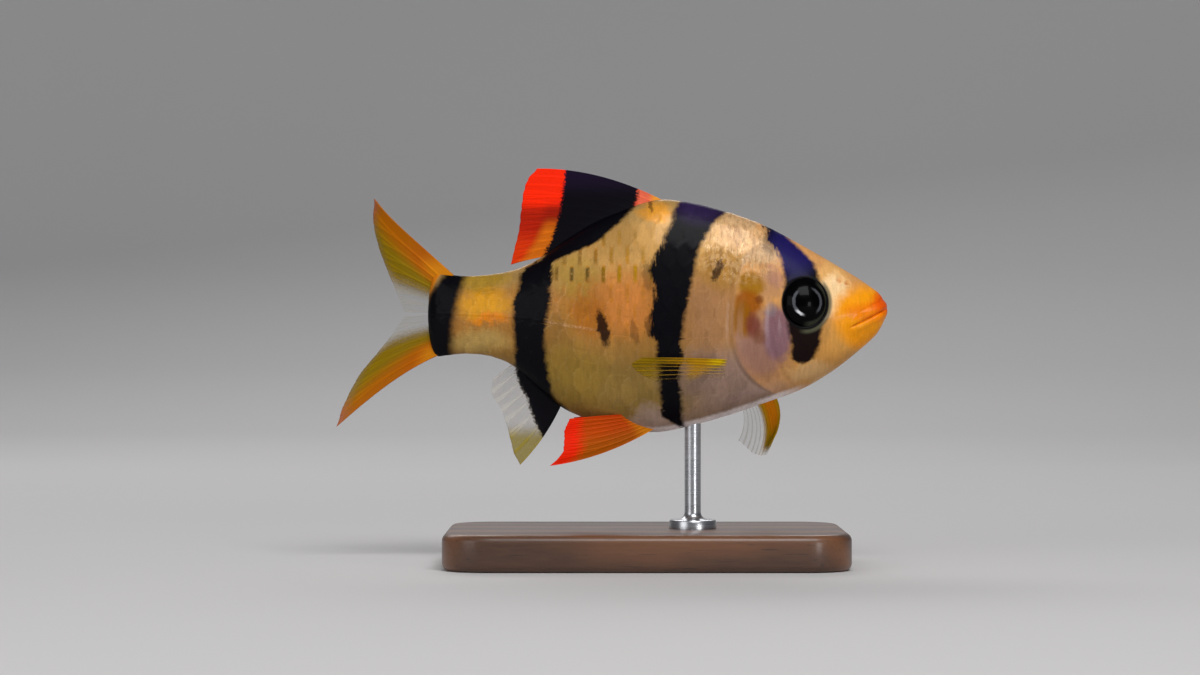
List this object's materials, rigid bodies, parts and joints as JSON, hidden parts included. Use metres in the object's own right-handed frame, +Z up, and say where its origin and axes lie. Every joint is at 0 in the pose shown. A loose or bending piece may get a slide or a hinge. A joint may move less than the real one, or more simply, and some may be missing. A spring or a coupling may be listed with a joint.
{
  "type": "tiger barb display model",
  "caption": "Life-size still model of a tiger barb, a small deep-bodied banded fish, mid-swim with its tail turned aside, held by a rod on a flat base.",
  "frame": {"origin": "middle of the bounding box, on the underside of the stand's base", "axes": "+X from tail to snout, along the longest extent; +Y to the fish's left, along the shortest extent; +Z up"},
  "size_m": [0.0613, 0.028, 0.0437],
  "materials": {
    "body_skin": "cream gold scales with blue-black upright bands, wet gloss",
    "head_skin": "orange and cream skin with a dark band through the eye, wet gloss",
    "red_fin": "thin rayed fin, orange red to black",
    "dark_fin": "thin rayed fin, black at the front and nearly clear behind",
    "amber_fin": "thin rayed fin, amber yellow fading to clear",
    "eye": "polished, black pupil in a dark iris with a thin silver ring",
    "stand_wood": "dark walnut, satin",
    "stand_steel": "fine brushed"
  },
  "bodies": {
    "root": {"head": "head_skin", "lower_jaw": "head_skin", "torso": "body_skin", "tail_stalk": "body_skin", "dorsal_fin": "red_fin", "anal_fin": "dark_fin", "tail_fin_upper_lobe": "amber_fin", "tail_fin_lower_lobe": "amber_fin", "pectoral_fin_right": "amber_fin", "pectoral_fin_left": "amber_fin", "pelvic_fin_right": "red_fin", "pelvic_fin_left": "red_fin", "eye_right": "eye", "eye_left": "eye", "stand_base": "stand_wood", "stand_rod": "stand_steel"}
  },
  "joints": []
}
